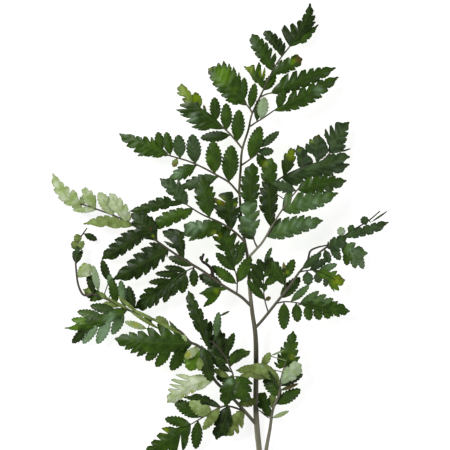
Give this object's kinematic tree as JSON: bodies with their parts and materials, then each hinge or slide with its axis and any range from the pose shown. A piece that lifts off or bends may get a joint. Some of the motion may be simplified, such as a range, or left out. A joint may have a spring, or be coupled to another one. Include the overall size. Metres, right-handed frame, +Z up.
{
  "type": "leatherleaf fern frond",
  "caption": "Cut leatherleaf fern frond lying face up: a tapering stem with alternate side branches of toothed leaflets and lobed blades.",
  "frame": {"origin": "on the surface the frond lies on, under the middle of its bounding box", "axes": "+Y from the cut end of the stem to the tip, +X to the right seen from above, +Z up out of the surface"},
  "size_m": [0.3384, 0.5032, 0.0336],
  "materials": {
    "frond_green": "waxy, dark green, semi-gloss"
  },
  "bodies": {
    "root": {"frond": "frond_green"}
  },
  "joints": []
}
